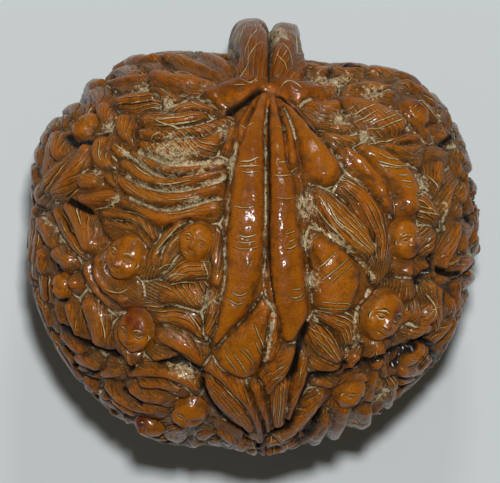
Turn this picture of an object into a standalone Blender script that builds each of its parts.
# A carved walnut, a polished nut to hold in the hand, covered with small figures in relief.
# It lies on its side on a small flat spot, with its seam in the plane X = 0 and its pointed tip
# towards +Y and +Z. Metres, +Z up, origin under the middle of the nut on the surface it lies on.
# Lengths in the lists below are millimetres from the nut's own middle, seen from above:
# x to the right along the girth, y towards the tip.

import math

import bmesh
import bpy
import numpy as np

MM = 0.001
HALF_HEIGHT = 19.8          # from the girth to the top or bottom of the body
SQUARENESS = 2.25           # 2 is a plain ellipse from girth to top, more is squarer
SEAM_X = 1.4                # the seam runs round the nut in this plane
SEAM_SWELLING = 0.4         # how far the two halves swell along the seam
SEAM_HALF_WIDTH = 3.0
GROOVE_HALF_WIDTH = 0.7     # between one carved form and the next
GROOVE_DEPTH = 0.6
OPEN_GROUND_DEPTH = 0.4     # the ground that no form reaches lies lower by this
OPEN_GROUND_START = 0.2     # that ground begins this far from the nearest form
FORM_BLEND = 0.25           # how softly one form's height gives way to the next
CARVING_INSET = 0.35        # the whole carving lies this much deeper than its forms say
SMOOTHING_PASSES = 2        # rounds off the finest ridges before the thinning
FORM_REACH = 4.0            # no form shapes the nut further from itself than this
FORM_EDGE = 1.5             # a form's cross-section is followed to this share of its half width
SPINE_STEP = 0.8            # spacing of the points read from a form's smooth spine
DOT_LENGTH = 0.01           # a form given as one point is drawn out by this much
OUT_OF_REACH = 8.0          # distance given to a point that no form is near
FAINTEST_WEIGHT = 1e-40     # keeps the mean of the forms' heights defined where none reaches
RIM_SHARE = 0.999           # the lists' points stay within this share of the girth's radius
WORN_DEPTH = 0.4            # what is worn off the underside to give the flat spot
WORN_RADIUS = 7.5           # the carving fades out within this radius of the flat spot
WORN_BARE_SHARE = 0.35      # and is gone within this share of it
SCAR_RADIUS = 2.3           # where the stalk once held the nut, at the base
SCAR_TILT = 44.0            # the base's angle below the girth, in degrees
SCAR_HEIGHT = 0.5
SCAR_HOLLOW = 0.45          # half width of its sunk middle; this and the next four are in its radii
SCAR_RING_PLACE = 1.1
SCAR_RING_WIDTH = 0.18
SCAR_EDGE = 1.4
SCAR_BLEND = 0.25
SCAR_RING_DEPTH = 0.6
CUBE_CUTS = 79              # cuts along each edge of the cube that the nut is shaped from
TRIANGLE_TARGET = 10900
CUT_TOLERANCE = 1e-6        # metres
SHARP_ANGLE = 50.0          # degrees between two faces above which their edge is drawn sharp
SHELL_COLOUR = (0.33, 0.12, 0.025, 1)
SHELL_ROUGHNESS = 0.32

# The body's outline seen from above: azimuth in degrees, radius.
OUTLINE = (
    (0, 22.5), (12, 22.9), (24, 23.6), (36, 24.0), (47, 23.8), (57, 22.3), (68, 20.4), (80, 19.6),
    (92, 19.6), (103, 20.4), (114, 21.9), (126, 22.8), (138, 23.3), (150, 24.1), (159, 23.7),
    (170, 22.5), (182, 22.6), (198, 22.2), (214, 21.8), (229, 21.4), (243, 21.4), (258, 20.0),
    (272, 20.0), (287, 20.2), (303, 20.5), (318, 20.8), (333, 21.6), (347, 21.9),
)

# Each carved form is a smooth spine with a half width at each point, written as
# (height of its flanks, further height of its crest, [(x, y, half width), ...]). A fourth value
# raises or lowers the form at that point, and a point beyond the outline lies round the girth.

# The two knobs past the tip, and the saddle between them and the stems.
TIP_FORMS = (
    (2.6, 1, [(0.7, 16.6, 0.8, -1.9), (0.5, 17.7, 1.15, -0.7), (0, 18.8, 1.5, 0.1),
        (-0.4, 19.6, 1.7, 0.3), (-0.5, 20, 1.5, -0.2), (-0.45, 20.4, 1.25, -1.2),
        (-0.4, 20.9, 0.8, -2.3)]),
    (2.5, 1, [(2.3, 16.6, 0.7, -1.9), (2.6, 17.6, 1, -0.7), (2.9, 18.7, 1.25, 0.1),
        (3.05, 19.5, 1.45, 0.25), (3.05, 20, 1.3, -0.2), (3, 20.4, 1.05, -1.2),
        (2.85, 20.9, 0.7, -2.3)]),
    (0.95, 0.4, [(1.3, 16.3, 0.5), (-0.4, 16.2, 0.75), (-1.9, 15.9, 0.8), (-3.6, 15.2, 0.9)]),
    (0.95, 0.4, [(1.9, 16.3, 0.5), (3.2, 16, 0.8), (4.6, 15.6, 1), (6.4, 15.6, 0.45)]),
)

# The two long stems either side of the seam, and the ribs beside their tops.
STEMS = (
    (0.6, 0.65, [(1.1, 15.3, 0.35), (0.5, 13.4, 0.6), (-0.1, 11, 1.1), (-0.4, 8, 1.4), (-0.6, 5, 1.6),
        (-0.8, 2, 1.7), (-1, -1, 1.65), (-1.4, -3.6, 1.35), (-1.9, -5.4, 1.25), (-2.8, -7.3, 0.75),
        (-3.6, -8.8, 0.35)]),
    (0.4, 0.3, [(-0.3, 14, 0.25), (-1, 12.6, 0.35), (-1.2, 11, 0.3)]),
    (0.6, 0.65, [(1.9, 15.2, 0.35), (2.15, 13.5, 0.45), (2.4, 11.2, 0.75), (2.5, 8.8, 0.9),
        (2.8, 6.2, 1.25), (2.9, 3.6, 1.3), (3.2, 1, 1.4), (3.4, -1.8, 1.55), (3.6, -4.4, 1.6),
        (3.9, -6.4, 1.35), (3.6, -8.2, 0.7)]),
    (0.55, 0.45, [(2.7, 14.2, 0.25), (3.3, 12.6, 0.4), (3.7, 10.8, 0.5), (3.8, 8.8, 0.5)]),
    (0.9, 0.5, [(2.6, 15, 0.3), (3.8, 13.4, 0.6), (5, 11.6, 0.95), (6.2, 9.7, 1.25), (7.2, 8.1, 1.35)]),
)

# The leaves at the foot of the stems.
FOOT_LEAVES = (
    (0.75, 0.3, [(1.1, -5.9, 0.35), (0.2, -7.8, 1.1), (-1, -9.6, 1.9), (-1.6, -10.8, 1.7)]),
    (0.5, 0.2, [(2.1, -6.6, 0.25), (2, -8.5, 0.35), (1.6, -10.4, 0.4)]),
    (1, 0.4, [(-4.1, -11.6, 0.4), (-2.7, -12.7, 0.5), (-1.4, -13.9, 0.5), (-0.3, -15.2, 0.5),
        (0.5, -16.8, 0.45), (0.7, -18.3, 0.4)]),
    (0.45, 0.3, [(-4.2, -13.2, 0.7), (-2.9, -14.7, 1.1), (-1.5, -16.2, 1.1), (-0.3, -17.4, 0.6)]),
    (0.4, 0.2, [(0.3, -13.6, 0.4), (0.7, -15, 0.45), (1.3, -16.5, 0.4), (1.4, -17.6, 0.3)]),
    (0.9, 0.4, [(3.9, -9.8, 0.25), (3, -11.2, 0.6), (2, -12.6, 0.75), (1.6, -13.6, 0.4)]),
    (0.4, 0.25, [(2.8, -13.4, 0.8), (2.6, -15.2, 0.9), (2.5, -17, 0.6)]),
    (0.55, 0.3, [(5, -10.7, 0.4), (4.7, -12.6, 0.6), (4.1, -14.4, 0.5), (3.5, -16.4, 0.4)]),
    (0.7, 0.5, [(6.6, -14.3, 0.5), (5.5, -15.9, 0.75), (4.3, -17.3, 0.7), (2.8, -18.5, 0.4)]),
    (0.3, 0.3, [(6.3, -17.4, 0.3), (5, -18.6, 0.4), (3.2, -19.5, 0.4)]),
    (0.5, 0.35, [(-3.3, -18.2, 0.4), (-1.8, -19.1, 0.5), (0, -19.9, 0.5)]),
    (0.35, 0.3, [(1, -19.9, 0.45), (2.4, -19.7, 0.4)]),
)

# Left of the stems: deep sleeve folds, and the robes below them.
SLEEVE_FOLDS = (
    (0.15, 0.2, [(-11, 10.7, 0.4), (-9.3, 10.3, 0.7), (-7.2, 10.6, 0.9), (-5.2, 10.6, 0.8),
        (-3.4, 11.6, 0.5)]),
    (0.2, 0.2, [(-2.5, 10.4, 0.4), (-2.1, 12.2, 0.35)]),
    (0.35, 0.35, [(-12, 9.7, 0.35), (-10.5, 9, 0.42), (-9.2, 8.35, 0.4), (-7.4, 8.25, 0.42),
        (-5.4, 8.35, 0.42), (-3.2, 8.6, 0.4)]),
    (0.5, 0.4, [(-12.7, 8.7, 0.5), (-11.3, 7.7, 0.55), (-9.8, 7.05, 0.45), (-8, 6.9, 0.45),
        (-6, 7.2, 0.45), (-4.1, 7.75, 0.35), (-2.9, 8, 0.3)]),
    (0.55, 0.4, [(-13.1, 6.9, 0.6), (-11.6, 5.9, 0.62), (-10.1, 5.4, 0.65), (-8.6, 5.25, 0.6),
        (-7, 5.4, 0.5), (-5.4, 5.8, 0.45), (-3.6, 6.3, 0.4)]),
    (0.6, 0.35, [(-12.9, 4.9, 0.3), (-11.2, 4.1, 0.45), (-9.6, 3.4, 0.6), (-7.8, 3.3, 0.6),
        (-5.9, 3.8, 0.55), (-3.9, 4.4, 0.6)]),
    (0.3, 0.3, [(-14.9, 3.7, 0.25), (-13, 3.55, 0.32), (-11.6, 3.1, 0.36), (-10.5, 2.2, 0.35),
        (-9.9, 1.4, 0.25)]),
    (0.2, 0.25, [(-14.7, 2.8, 0.25), (-13.2, 2.6, 0.3), (-11.9, 2, 0.3), (-10.9, 1.1, 0.28)]),
    (0.6, 0.35, [(-9.8, -1.2, 0.3), (-9.4, 0.2, 0.36), (-8.6, 1.4, 0.36), (-7.7, 2.4, 0.36),
        (-6.7, 3, 0.3)]),
    (0.45, 0.3, [(-8.9, -1.2, 0.3), (-8.5, 0.1, 0.36), (-7.7, 1.1, 0.34), (-6.9, 1.9, 0.3)]),
    (0.1, 0.2, [(-4, 1.4, 0.5), (-3.7, -0.8, 0.5), (-3.6, -3, 0.5)]),
    (0.25, 0.25, [(-7.9, -2.6, 0.6), (-6.6, -1.8, 0.9), (-5.2, -1.7, 0.8)]),
    (0.2, 0.25, [(-8.9, -4.6, 0.6), (-7.3, -4.3, 0.9), (-5.6, -4.6, 0.9)]),
    (0.05, 0.2, [(-4.3, -4.6, 0.45), (-4.1, -6.4, 0.45), (-4.6, -8.2, 0.45)]),
    (0.3, 0.25, [(-9.2, -6.6, 0.5), (-7.7, -6.7, 0.7), (-6.2, -7.2, 0.6), (-5.2, -8.4, 0.4)]),
    (0.6, 0.45, [(-9, -8.5, 0.5), (-7.5, -9.2, 0.65), (-6.1, -10, 0.65), (-5.4, -10.9, 0.4)]),
    (0, 0.2, [(-9.8, -10.7, 0.35), (-8.4, -10.9, 0.35)]),
    (0.45, 0.3, [(-12.2, -12.2, 0.35), (-10.2, -12.1, 0.45), (-8.4, -12.3, 0.5), (-6.8, -12.9, 0.5),
        (-5.7, -13.6, 0.4)]),
    (0.4, 0.3, [(-11, -13.3, 0.35), (-9.2, -13.4, 0.4), (-7.6, -13.8, 0.35)]),
    (0.3, 0.4, [(-12, -13.9, 0.5), (-10.7, -14.7, 0.6), (-9.3, -14.9, 0.5)]),
)

# Upper left, and down the left edge.
UPPER_LEFT = (
    (0.5, 0.5, [(-18.2, 15.9, 0.6), (-16.6, 16.5, 0.9), (-15.3, 16.8, 0.6)]),
    (0.5, 0.5, [(-13.6, 18.4, 0.6), (-11.9, 19.1, 0.9), (-10, 19.3, 0.8)]),
    (0.2, 0.3, [(-14.5, 16.9, 0.4), (-12.6, 17.3, 0.5), (-11, 17.5, 0.4)]),
    (0.75, 0.35, [(-9.6, 17.6, 0.6), (-8, 17.2, 0.75), (-6.2, 17, 0.7), (-4.4, 16.6, 0.4)]),
    (0.5, 0.4, [(-8.6, 19.6, 0.6), (-6.8, 19.1, 0.6), (-5.2, 18.5, 0.5), (-3.4, 17.6, 0.35)]),
    (0.2, 0.3, [(-5.6, 20, 0.5), (-3.6, 19.3, 0.6), (-2.4, 18.4, 0.5)]),
    (0.25, 0.3, [(-13.3, 15.2, 0.5), (-11.8, 15.4, 0.6), (-10.2, 15.6, 0.5)]),
    (0.4, 0.3, [(-10, 16.2, 0.3), (-8.8, 15.9, 0.35), (-7.8, 15.2, 0.3)]),
    (0.3, 0.3, [(-7.6, 14.2, 0.45), (-6, 14.6, 0.6), (-4.4, 14.2, 0.5)]),
    (0.35, 0.3, [(-10.6, 13.2, 0.5), (-8.8, 13.2, 0.6), (-6.8, 13.4, 0.6), (-5, 13.7, 0.45)]),
    (0.2, 0.25, [(-11.2, 12, 0.3), (-9.4, 11.7, 0.4), (-7.4, 11.9, 0.4), (-5.2, 12.2, 0.5),
        (-3, 12.9, 0.4)]),
    (0.8, 0.5, [(-12.9, 12.9, 0.75), (-12.7, 11.8, 0.7)]),
    (0.55, 0.5, [(-15, 14.2, 0.8), (-14.7, 13.2, 0.5)]),
    (0.3, 0.4, [(-21.3, 12.4, 0.6), (-22, 10.4, 0.6)]),
    (0.5, 0.5, [(-19.7, 11.3, 0.8), (-19.6, 9.9, 0.7)]),
    (0.65, 0.45, [(-15.2, 11, 0.6), (-15.4, 9.6, 0.7), (-14.6, 8.6, 0.6)]),
    (0.35, 0.35, [(-13.6, 10.4, 0.5), (-13, 9.6, 0.45)]),
    (0.6, 0.4, [(-16.8, 10.3, 0.4), (-17.6, 8.6, 0.55), (-18.8, 6.9, 0.6), (-19.8, 5.8, 0.45)]),
    (0.3, 0.4, [(-18.6, 9.2, 0.3), (-20.3, 7.4, 0.8), (-21.5, 5.6, 0.9)]),
    (0.5, 0.4, [(-16.9, 7, 0.7), (-16, 7, 0.7)]),
    (0.55, 0.4, [(-17, 5.2, 0.5), (-15.4, 5.3, 0.65), (-13.9, 5.8, 0.5)]),
    (0.1, 0.2, [(-14.6, 7.6, 0.35), (-13.6, 6.4, 0.35)]),
    (0.75, 0.5, [(-18.3, 4.4, 0.6), (-17.4, 3.1, 0.8), (-16.7, 1.7, 0.95), (-16.4, 0.7, 0.8)]),
    (0.2, 0.25, [(-19.7, 4, 0.4), (-19.1, 2.6, 0.55), (-18.1, 1, 0.5), (-17.2, -0.2, 0.35)]),
    (0.5, 0.4, [(-21.9, 4, 0.4), (-21.2, 2.6, 0.55), (-20.5, 1.4, 0.55), (-20, 0.6, 0.4)]),
    (0.2, 0.4, [(-22.4, 2, 0.4), (-22.6, 0.6, 0.5)]),
    (0.5, 0.4, [(-19.6, -0.3, 0.7), (-18.6, -0.9, 0.8)]),
    (0.4, 0.4, [(-21.2, -0.4, 0.6), (-21.3, -2, 0.6)]),
    (0.2, 0.4, [(-22.4, -1.4, 0.4), (-22.2, -3, 0.4)]),
    (0.35, 0.3, [(-16.6, -1.6, 0.35), (-16.2, -2.9, 0.35), (-15.4, -4.2, 0.35), (-14.4, -5.3, 0.3)]),
    (0.45, 0.3, [(-15.5, -0.9, 0.3), (-15.6, -2.3, 0.3), (-14.9, -3.6, 0.35), (-13.9, -4.5, 0.35),
        (-12.8, -4.9, 0.3)]),
    (0.6, 0.5, [(-17.9, -3.2, 0.5)]),
    (0.35, 0.4, [(-21.6, -4.4, 0.4), (-20.9, -5.8, 0.45), (-20.4, -7.2, 0.4)]),
    (0.5, 0.45, [(-18.4, -5.6, 0.5), (-18, -7, 0.5), (-17.6, -8.1, 0.35)]),
    (0.2, 0.3, [(-19.6, -5.9, 0.4), (-19.2, -6.9, 0.4)]),
    (0.65, 0.35, [(-16.3, -5.6, 0.8), (-15.6, -7.2, 1.1), (-15.3, -8.7, 0.9)]),
    (0.45, 0.4, [(-18.9, -8.6, 0.35), (-18.1, -9.4, 0.5), (-17.2, -10, 0.4)]),
    (0.55, 0.5, [(-17.4, -10.8, 0.5), (-16.5, -11.1, 0.6), (-15.6, -11.6, 0.45)]),
    (0.25, 0.4, [(-20.3, -8.8, 0.4), (-19.7, -10.3, 0.4), (-18.7, -11.8, 0.35)]),
    (0.3, 0.4, [(-16.6, -13.1, 0.45), (-15.2, -14.6, 0.4)]),
    (0.25, 0.35, [(-14.9, -12.3, 0.5), (-13.6, -12.2, 0.45)]),
    (0.5, 0.4, [(-14.4, -13.6, 0.45), (-13.4, -14.8, 0.5), (-11.9, -15.6, 0.4), (-10.2, -16, 0.3)]),
    (0.3, 0.3, [(-13.7, -8.2, 0.25), (-13.2, -9.6, 0.3), (-12.2, -11.2, 0.3)]),
    (0.2, 0.3, [(-13.2, -16.2, 0.3), (-12.6, -17.2, 0.3)]),
    (0.35, 0.4, [(-8.8, -19.5, 0.3), (-6.6, -19.6, 0.4), (-4.9, -19.2, 0.45)]),
)

# Upper right, and down the right edge.
UPPER_RIGHT = (
    (0.1, 0.3, [(6.6, 18.2, 0.6), (8, 18.6, 0.6)]),
    (0.3, 0.3, [(9.4, 18.7, 0.6), (10.6, 18.4, 0.5)]),
    (0.45, 0.4, [(12, 18.2, 0.7), (13.6, 17.9, 0.7)]),
    (0.05, 0.2, [(6.5, 16.9, 0.5), (7.9, 16.5, 0.5)]),
    (0.25, 0.3, [(8.3, 17.2, 0.35), (9.8, 17.6, 0.4)]),
    (0.3, 0.3, [(9.6, 16.4, 0.4), (11.4, 16.7, 0.5), (13.4, 16.4, 0.5)]),
    (0.35, 0.3, [(15.4, 16.9, 0.5), (16.8, 16.2, 0.5)]),
    (0.4, 0.4, [(16.4, 18, 0.5), (17.9, 16.6, 0.5)]),
    (0.7, 0.3, [(5.9, 14.6, 0.45), (7, 14.5, 0.6), (8, 14.6, 0.6)]),
    (0.75, 0.35, [(9.3, 15, 0.4), (11, 14.5, 0.9), (12.6, 13.7, 1.2), (14.1, 12.9, 1.1)]),
    (0.2, 0.25, [(12.4, 15.6, 0.3), (14, 15.9, 0.4)]),
    (0.1, 0.2, [(8, 12.4, 0.4), (9.5, 12.3, 0.4)]),
    (0.3, 0.3, [(7.4, 11.6, 0.35), (8.7, 11.3, 0.45), (10.2, 11.2, 0.35)]),
    (0.35, 0.3, [(14.2, 10.9, 0.3), (15.5, 11.3, 0.4), (16.4, 11.4, 0.35)]),
    (0.35, 0.3, [(13.4, 10.5, 0.3), (15, 10.2, 0.45), (16.6, 10.4, 0.35)]),
    (0.25, 0.35, [(18.5, 15.6, 0.35), (19.2, 14.4, 0.35), (19.9, 12.8, 0.35)]),
    (0.2, 0.25, [(18.5, 14, 0.3), (19, 13, 0.3)]),
    (0.5, 0.45, [(18.9, 11.6, 0.55)]),
    (0.3, 0.3, [(17.3, 12, 0.35)]),
    (0.3, 0.4, [(20.9, 11.9, 0.35), (21.5, 10.2, 0.35)]),
    (0.45, 0.4, [(20.3, 10.6, 0.4), (20.9, 9.2, 0.45)]),
    (0.25, 0.3, [(18.2, 9.7, 0.35), (19.2, 9.7, 0.35)]),
    (0.7, 0.4, [(10.9, 9.9, 0.4), (12.3, 9.2, 0.7), (13.6, 7.9, 0.8), (14.7, 6.4, 0.75),
        (15.3, 4.8, 0.6)]),
    (0.2, 0.25, [(13.4, 9.5, 0.3), (15, 9.3, 0.3)]),
    (0.4, 0.3, [(15.2, 8.5, 0.35), (16.8, 8.5, 0.5), (17.6, 7.6, 0.4)]),
    (0.6, 0.4, [(18.5, 8.6, 0.4), (18.6, 7.2, 0.35)]),
    (0.25, 0.25, [(15.3, 7.3, 0.3), (16.4, 6.4, 0.3), (17.6, 5.4, 0.3)]),
    (0.45, 0.3, [(16.2, 5.5, 0.5), (17.3, 4.6, 0.6), (18.3, 3.6, 0.4)]),
    (0.4, 0.35, [(20.2, 7, 0.35), (19.6, 5.6, 0.35), (19.2, 3.9, 0.35)]),
    (0.15, 0.25, [(20.4, 5.6, 0.3), (20.9, 4.4, 0.3)]),
    (0.35, 0.35, [(21.3, 7.6, 0.35), (21.4, 5.8, 0.35), (21.9, 4.2, 0.3)]),
    (0.25, 0.3, [(22.4, 7.4, 0.3), (22.5, 5.2, 0.3)]),
    (0.55, 0.35, [(9.2, 9.5, 0.35), (10.6, 8.4, 0.45), (11.7, 7.3, 0.4), (12.3, 6.2, 0.35)]),
    (0.15, 0.2, [(12.6, 5.2, 0.3), (12.9, 3.9, 0.35)]),
    (0.45, 0.3, [(13.8, 6.2, 0.3), (14.2, 5, 0.3), (14.7, 3.7, 0.25)]),
    (0.25, 0.25, [(9.1, 7.2, 0.4), (10.3, 6.4, 0.4)]),
    (0.5, 0.3, [(7.2, 5.2, 0.45), (8.5, 3.6, 0.95), (9.9, 2.1, 1.1), (11.4, 0.8, 0.9)]),
    (0.45, 0.3, [(9.7, 4.9, 0.35), (10.9, 4.1, 0.5), (11.7, 2.8, 0.5), (12.4, 1, 0.5),
        (12.6, -0.9, 0.4)]),
    (-0.1, 0.15, [(4.9, 5.6, 0.35), (5.2, 3.4, 0.35), (5.5, 1.2, 0.3)]),
    (0.35, 0.3, [(6.6, 1.2, 0.5), (7.9, 0.4, 0.5)]),
    (0, 0.15, [(5.8, -1.2, 0.3), (5.9, -3.6, 0.3), (5.8, -6, 0.25)]),
)

# Right of the stems, below.
LOWER_RIGHT = (
    (0.65, 0.35, [(9.9, -1.5, 0.7), (9.2, -3, 1.3), (8.3, -4.2, 1.2)]),
    (0.45, 0.25, [(7.2, -1.9, 0.5), (8.4, -0.9, 0.4)]),
    (0.4, 0.2, [(7.4, -5.4, 0.28), (9.3, -5.5, 0.28)]),
    (0.5, 0.35, [(8.4, -6.9, 0.5), (9.3, -7.6, 0.45), (9.2, -8.8, 0.3)]),
    (0.45, 0.25, [(6.3, -8, 0.8), (7.4, -9.6, 0.9), (8.3, -10.8, 0.5)]),
    (0.15, 0.25, [(5.9, -11.4, 0.4), (7.3, -11.7, 0.45), (8.7, -11.7, 0.35)]),
    (0.2, 0.3, [(15.3, -3.2, 0.5), (15.6, -4.4, 0.5)]),
    (0.45, 0.4, [(15.5, -2.1, 0.5)]),
    (0.3, 0.3, [(10.3, -10.7, 0.4), (9.8, -11.4, 0.3)]),
    (0.35, 0.3, [(6.5, -13.1, 0.35), (7.6, -13.4, 0.35)]),
    (0.45, 0.4, [(7.2, -17, 0.45), (6.4, -17.9, 0.45), (5, -19, 0.35)]),
    (0.35, 0.35, [(11.4, -12.1, 0.45)]),
    (0.4, 0.35, [(12.9, -11.5, 0.45), (13.1, -12.4, 0.4)]),
    (0.4, 0.4, [(12.3, -14, 0.4), (12.6, -13.6, 0.4)]),
    (0.35, 0.35, [(13.6, -14.2, 0.35), (12.9, -15.3, 0.4), (11.9, -16.4, 0.4), (10.4, -17.3, 0.35)]),
    (0.65, 0.4, [(17.8, -3.7, 0.55), (18.2, -5.2, 0.8), (17.6, -6.7, 0.75)]),
    (0.3, 0.3, [(16.5, -6.2, 0.4), (16.3, -7.4, 0.35)]),
    (0.45, 0.4, [(20.4, -3.4, 0.5), (20.3, -5.2, 0.6), (19.8, -6.9, 0.55), (18.8, -8.2, 0.5),
        (17.7, -9.2, 0.4)]),
    (0.25, 0.35, [(21.6, -4.6, 0.35), (21.4, -6.2, 0.35), (20.7, -7.8, 0.3)]),
    (0.35, 0.4, [(19.6, -9.5, 0.4), (18.8, -10.6, 0.4), (17.9, -11.5, 0.3)]),
    (0.2, 0.35, [(15, -13.2, 0.4), (16.7, -12.7, 0.4)]),
    (0.15, 0.25, [(14.6, -11.4, 0.3), (14.2, -12.4, 0.3)]),
    (0.6, 0.5, [(20.3, 2.3, 0.65), (20, 1, 0.75), (19.5, -0.4, 0.65)]),
    (0.3, 0.35, [(22.4, 2.6, 0.35), (22.2, 1, 0.35)]),
    (0.4, 0.35, [(21.9, -0.6, 0.4), (21.7, -2.2, 0.4)]),
    (0.1, 0.25, [(20.2, -1.4, 0.4), (20.8, -0.6, 0.3)]),
    (0.25, 0.3, [(17.9, 1.4, 0.4), (17.7, 0.2, 0.4)]),
    (0.15, 0.25, [(17.4, -1.6, 0.35), (18.1, -2.4, 0.3)]),
    (0.2, 0.3, [(19.4, -2.9, 0.35)]),
)

# Heads of the figures: x, y, radius, height.
HEADS = (
    (-12.9, -0.6, 2.25, 1.3), (-11.9, -8.1, 2.15, 1.2), (-5.7, 0.9, 1.9, 1.3), (15.4, 1.2, 1.95, 1.3),
    (13.2, -6.6, 2.5, 1.3), (-6.4, -16.5, 2.05, 1.1), (-10.6, -17.8, 1.6, 0.9), (9.9, -14.4, 1.75, 1.1),
    (16.6, -10.5, 1.3, 0.9), (-19.3, -3.6, 1.35, 0.9), (16.4, 14.1, 1.6, 1.0), (-16.9, 12.7, 1.5, 1.0),
)
HEAD_RING_DEPTH = 0.7       # the groove that frees a head from its ground
HEAD_RING_PLACE = 1.08      # where that groove runs, in head radii
HEAD_RING_WIDTH = 0.2
HEAD_FALL = 0.8             # the dome falls by this share of its height towards its edge
HEAD_EDGE = 1.05            # where the dome gives way to the ground, in head radii
HEAD_BLEND = 0.2

FRONT, BACK = 1, -1
FRONT_FORMS = STEMS + FOOT_LEAVES + SLEEVE_FOLDS + UPPER_LEFT + UPPER_RIGHT + LOWER_RIGHT


def smooth_value(p0, p1, p2, p3, t):
    """Catmull-Rom curve from p1 to p2."""
    return 0.5 * (2 * p1 + (p2 - p0) * t + (2 * p0 - 5 * p1 + 4 * p2 - p3) * t ** 2
                  + (3 * p1 - p0 - 3 * p2 + p3) * t ** 3)


def outline_radius(azimuth):
    """The body's radius at the girth, for an array of azimuths in radians."""
    angles = np.radians([angle for angle, _ in OUTLINE])
    radii = np.array([radius for _, radius in OUTLINE])
    turn = np.mod(azimuth, 2 * math.pi)
    last = np.clip(np.searchsorted(angles, turn, side="right") - 1, 0, len(radii) - 1)
    closed = np.append(angles, angles[0] + 2 * math.pi)
    share = (turn - closed[last]) / (closed[last + 1] - closed[last])
    around = [radii[(last + k) % len(radii)] for k in (-1, 0, 1, 2)]
    return smooth_value(*around, share)


def body_surface(directions):
    """The uncarved nut's surface along unit directions from its middle."""
    flat = np.hypot(directions[:, 0], directions[:, 1])
    girth = outline_radius(np.arctan2(directions[:, 1], directions[:, 0]))
    total = (flat / girth) ** SQUARENESS + (np.abs(directions[:, 2]) / HALF_HEIGHT) ** SQUARENESS
    return directions * (total ** (-1 / SQUARENESS))[:, None]


def lifted(x, y, side):
    """Places on the uncarved body above (FRONT) or below (BACK) the girth."""
    girth = outline_radius(np.arctan2(y, x))
    flat = np.maximum(np.hypot(x, y), MM)
    past = flat > girth
    share = np.minimum(np.where(past, 2 - flat / girth, flat / girth), RIM_SHARE)
    height = HALF_HEIGHT * (1 - share ** SQUARENESS) ** (1 / SQUARENESS)
    inward = share * girth / flat
    return np.stack([x * inward, y * inward, side * np.where(past, -height, height)], axis=-1)


def turned(x, y, side):
    """The underside carries the same figures, turned half round across the seam."""
    if side == FRONT:
        return x, y
    return 2 * SEAM_X - x, -y


def spine(points, side):
    """A form's smooth spine on the body, with the half width and the rise along it."""
    known = np.array([(tuple(point) + (0.0,))[:4] for point in points])
    if len(known) == 1:
        known = np.vstack([known, known + (DOT_LENGTH, DOT_LENGTH, 0, 0)])
    ends = np.vstack([2 * known[0] - known[1], known, 2 * known[-1] - known[-2]])
    path = [known[0]]
    for p0, p1, p2, p3 in zip(ends, ends[1:], ends[2:], ends[3:]):
        pieces = max(1, math.ceil(np.linalg.norm(p2[:2] - p1[:2]) / SPINE_STEP))
        path += [smooth_value(p0, p1, p2, p3, (k + 1) / pieces) for k in range(pieces)]
    path = np.array(path)
    x, y = turned(path[:, 0], path[:, 1], side)
    return lifted(x, y, side), path[:, 2:]


def distance_to_spine(surface, places, shapes):
    """For each surface point: the distance to the form's edge, and the half width and rise there."""
    edge = np.full(len(surface), np.inf)
    shape = np.zeros((len(surface), 2))
    for a, b, shape_a, shape_b in zip(places, places[1:], shapes, shapes[1:]):
        along = b - a
        share = np.clip((surface - a) @ along / (along @ along), 0, 1)[:, None]
        here = shape_a + share * (shape_b - shape_a)
        distance = np.linalg.norm(surface - a - share * along, axis=1) - here[:, 0]
        nearer = distance < edge
        edge[nearer] = distance[nearer]
        shape[nearer] = here[nearer]
    return edge, shape[:, 0], shape[:, 1]


def soft_step(share):
    """0 to 1 with level ends."""
    share = np.clip(share, 0, 1)
    return share * share * (3 - 2 * share)


def carved_forms(surface):
    """Height of the packed forms and of the grooves where one meets the next."""
    count = len(surface)
    nearest = np.full(count, OUT_OF_REACH)
    second = np.full(count, OUT_OF_REACH)
    weight = np.full(count, FAINTEST_WEIGHT)
    height = np.zeros(count)
    forms = [(form, FRONT) for form in TIP_FORMS + FRONT_FORMS] + [(form, BACK) for form in FRONT_FORMS]
    for (flank, crest, points), side in forms:
        places, shapes = spine(points, side)
        middle = places.mean(axis=0)
        reach = np.linalg.norm(places - middle, axis=1).max() + shapes[:, 0].max() + FORM_REACH
        near = np.nonzero(np.linalg.norm(surface - middle, axis=1) < reach)[0]
        edge, width, rise = distance_to_spine(surface[near], places, shapes)
        across = np.clip((edge + width) / width, 0, FORM_EDGE)
        top = flank + rise + crest * (1 - across ** 2)
        share = np.exp(-edge / FORM_BLEND)
        weight[near] += share
        height[near] += share * top
        closer = edge < nearest[near]
        second[near] = np.where(closer, nearest[near], np.minimum(second[near], edge))
        nearest[near] = np.where(closer, edge, nearest[near])
    groove = soft_step(1 - (second - nearest) / 2 / GROOVE_HALF_WIDTH)
    open_ground = soft_step(nearest - OPEN_GROUND_START)
    return height / weight - GROOVE_DEPTH * groove - OPEN_GROUND_DEPTH * open_ground


def add_heads(surface, height):
    """Each head is a dome with a groove round it, over whatever lies beneath."""
    for x, y, radius, rise in HEADS:
        for side in (FRONT, BACK):
            place_x, place_y = turned(x, y, side)
            middle = lifted(np.array([place_x]), np.array([place_y]), side)[0]
            share = np.linalg.norm(surface - middle, axis=1) / radius
            ring = np.exp(-((share - HEAD_RING_PLACE) / HEAD_RING_WIDTH) ** 2)
            dome = rise * (1 - HEAD_FALL * np.minimum(share, 1) ** 2)
            inside = soft_step((HEAD_EDGE - share) / HEAD_BLEND)
            height = (height - HEAD_RING_DEPTH * ring) * (1 - inside) + dome * inside
    return height


def base_direction():
    """Towards the base, where the stalk was."""
    tilt = math.radians(SCAR_TILT)
    return np.array([SEAM_X / HALF_HEIGHT, -math.cos(tilt), -math.sin(tilt)])


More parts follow.
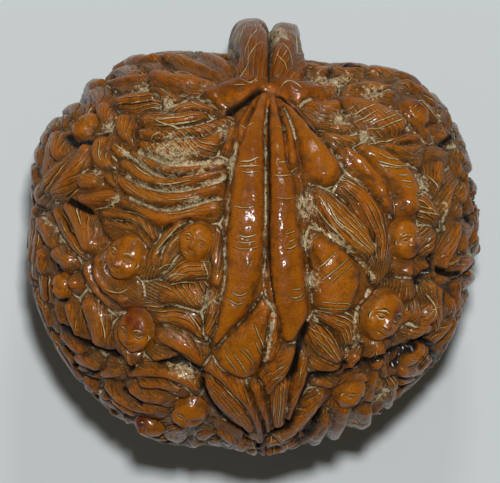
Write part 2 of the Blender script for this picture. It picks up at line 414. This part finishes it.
def add_scar(surface, height):
    """A low round boss with a sunk middle at the base."""
    middle = body_surface(base_direction()[None, :])[0]
    share = np.linalg.norm(surface - middle, axis=1) / SCAR_RADIUS
    hollow = np.exp(-(share / SCAR_HOLLOW) ** 2)
    ring = np.exp(-((share - SCAR_RING_PLACE) / SCAR_RING_WIDTH) ** 2)
    boss = SCAR_HEIGHT * (1 - hollow) - SCAR_RING_DEPTH * ring
    inside = soft_step((SCAR_EDGE - share) / SCAR_BLEND)
    return height * (1 - inside) + boss * inside


def relief(surface):
    """How far the finished nut stands outside its uncarved body."""
    height = add_scar(surface, add_heads(surface, carved_forms(surface)))
    swelling = SEAM_SWELLING * np.exp(-((surface[:, 0] - SEAM_X) / SEAM_HALF_WIDTH) ** 2)
    below = np.where(surface[:, 2] < 0, np.hypot(surface[:, 0], surface[:, 1]), 2 * WORN_RADIUS)
    kept = soft_step(below / WORN_RADIUS - WORN_BARE_SHARE)
    return (height + swelling - CARVING_INSET) * kept


def rounded_cube():
    """A cube cut into a fine grid, each corner moved out to the carved surface."""
    mesh = bmesh.new()
    bmesh.ops.create_cube(mesh, size=2.0)
    bmesh.ops.subdivide_edges(mesh, edges=mesh.edges[:], cuts=CUBE_CUTS, use_grid_fill=True)
    cube = np.array([vertex.co for vertex in mesh.verts])
    directions = np.tan(cube * math.pi / 4)
    directions /= np.linalg.norm(directions, axis=1)[:, None]
    surface = body_surface(directions)
    carved = surface + directions * relief(surface)[:, None]
    for vertex, place in zip(mesh.verts, carved * MM):
        vertex.co = place
    for _ in range(SMOOTHING_PASSES):
        bmesh.ops.smooth_vert(mesh, verts=mesh.verts[:], factor=0.5, use_axis_x=True, use_axis_y=True,
                              use_axis_z=True)
    bmesh.ops.triangulate(mesh, faces=mesh.faces[:])
    return mesh


def thinned(fine):
    """The same surface in fewer triangles, most of them along the grooves."""
    source = bpy.data.meshes.new("fine_walnut")
    fine.to_mesh(source)
    holder = bpy.data.objects.new("fine_walnut", source)
    bpy.context.scene.collection.objects.link(holder)
    fewer = holder.modifiers.new("fewer_triangles", "DECIMATE")
    fewer.ratio = TRIANGLE_TARGET / len(source.polygons)
    evaluated = holder.evaluated_get(bpy.context.evaluated_depsgraph_get())
    mesh = bmesh.new()
    mesh.from_mesh(evaluated.to_mesh())
    evaluated.to_mesh_clear()
    bpy.data.objects.remove(holder)
    return mesh


def wear_flat(mesh):
    """Cuts the worn flat spot on the underside and stands the nut on it."""
    low = min(vertex.co.z for vertex in mesh.verts) + WORN_DEPTH * MM
    everything = mesh.verts[:] + mesh.edges[:] + mesh.faces[:]
    bmesh.ops.bisect_plane(mesh, geom=everything, dist=CUT_TOLERANCE, plane_co=(0, 0, low),
                           plane_no=(0, 0, 1), clear_inner=True)
    rim = [edge for edge in mesh.edges if edge.is_boundary]
    spot = bmesh.ops.edgeloop_fill(mesh, edges=rim)["faces"]
    bmesh.ops.triangulate(mesh, faces=spot)
    bmesh.ops.recalc_face_normals(mesh, faces=mesh.faces[:])
    across = [sorted(vertex.co[axis] for vertex in mesh.verts) for axis in (0, 1)]
    middle = [(values[0] + values[-1]) / 2 for values in across]
    bmesh.ops.translate(mesh, verts=mesh.verts[:], vec=(-middle[0], -middle[1], -low))


def shell_material():
    """Dark amber nutshell, polished by handling."""
    material = bpy.data.materials.new("polished_nutshell")
    material.use_nodes = True
    shader = material.node_tree.nodes["Principled BSDF"]
    shader.inputs["Base Color"].default_value = SHELL_COLOUR
    shader.inputs["Roughness"].default_value = SHELL_ROUGHNESS
    shader.inputs["Metallic"].default_value = 0.0
    return material


def build_walnut():
    mesh = thinned(rounded_cube())
    wear_flat(mesh)
    data = bpy.data.meshes.new("carved_walnut")
    mesh.to_mesh(data)
    mesh.free()
    data.shade_smooth()
    data.set_sharp_from_angle(angle=math.radians(SHARP_ANGLE))
    data.materials.append(shell_material())
    walnut = bpy.data.objects.new("carved_walnut", data)
    bpy.context.scene.collection.objects.link(walnut)


for leftover in list(bpy.data.objects):
    bpy.data.objects.remove(leftover)
build_walnut()
